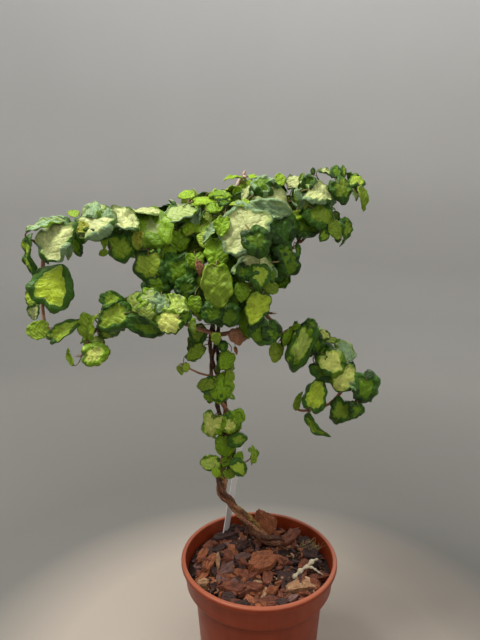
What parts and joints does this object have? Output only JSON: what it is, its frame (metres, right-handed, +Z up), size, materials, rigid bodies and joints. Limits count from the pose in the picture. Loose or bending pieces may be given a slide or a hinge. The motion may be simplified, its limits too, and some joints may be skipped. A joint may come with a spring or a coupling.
{
  "type": "potted standard fig",
  "caption": "Small trailing fig grown as a standard: a twisted stem carries a mop of curled, cream-marked leaves with drooping side shoots, in a round plastic pot of bark.",
  "frame": {"origin": "centre of the pot's flat underside", "axes": "+Z up along the pot's axis; the front faces -Y, and the longest shoots reach to -X and +X"},
  "size_m": [0.2189, 0.1512, 0.3456],
  "materials": {
    "pot": "moulded terracotta-coloured plastic, satin, faint vertical streaks",
    "bark": "loose chipped bark, red-brown to near black, rough",
    "stem": "thin cracked bark, tan to red-brown",
    "leaf": "small puckered leaves, dark green margins round cream or lime centres, soft gloss",
    "tag": "thin white plastic strip, bare"
  },
  "bodies": {
    "root": {"arm_back_left": "leaf", "arm_back_left_tip": "leaf", "arm_back_right": "leaf", "arm_back_right_tip": "leaf", "arm_lower_left_inner": "leaf", "arm_lower_left_middle": "leaf", "arm_lower_left_tip": "leaf", "arm_lower_right_bend": "leaf", "arm_lower_right_curl": "leaf", "arm_lower_right_inner": "leaf", "arm_lower_right_leaf": "leaf", "arm_lower_right_outer": "leaf", "arm_middle_right": "leaf", "arm_upper_left_drop": "leaf", "arm_upper_left_inner": "leaf", "arm_upper_left_middle": "leaf", "arm_upper_left_outer": "leaf", "arm_upper_left_tip": "leaf", "arm_upper_right_inner": "leaf", "arm_upper_right_tip": "leaf", "bark_chip_back": "bark", "bark_chip_front_left": "bark", "bark_chip_front_right": "bark", "bark_chip_left": "bark", "bark_chip_middle": "bark", "bark_chip_right": "bark", "bark_mix": "bark", "bough_lower_left": "stem", "bough_lower_right": "stem", "crown_back_left": "leaf", "crown_back_right": "leaf", "crown_core": "leaf", "crown_front": "leaf", "crown_front_low": "leaf", "crown_left": "leaf", "crown_low_right": "leaf", "crown_right": "leaf", "crown_top_left": "leaf", "crown_top_middle": "leaf", "crown_top_right": "leaf", "plant_tag": "tag", "pot": "pot", "shoot_left_hook": "stem", "shoot_right_hook": "stem", "shoot_top_left": "leaf", "shoot_top_middle": "leaf", "stem_leaves_foot": "leaf", "stem_leaves_front": "leaf", "stem_leaves_lower": "leaf", "stem_leaves_middle": "leaf", "stem_leaves_upper": "leaf", "stem_strand_1": "stem", "stem_strand_2": "stem", "stem_strand_3": "stem", "trunk": "stem", "twig_left": "stem", "twig_left_leaves": "leaf", "twig_right": "stem", "twig_right_leaves": "leaf"}
  },
  "joints": []
}
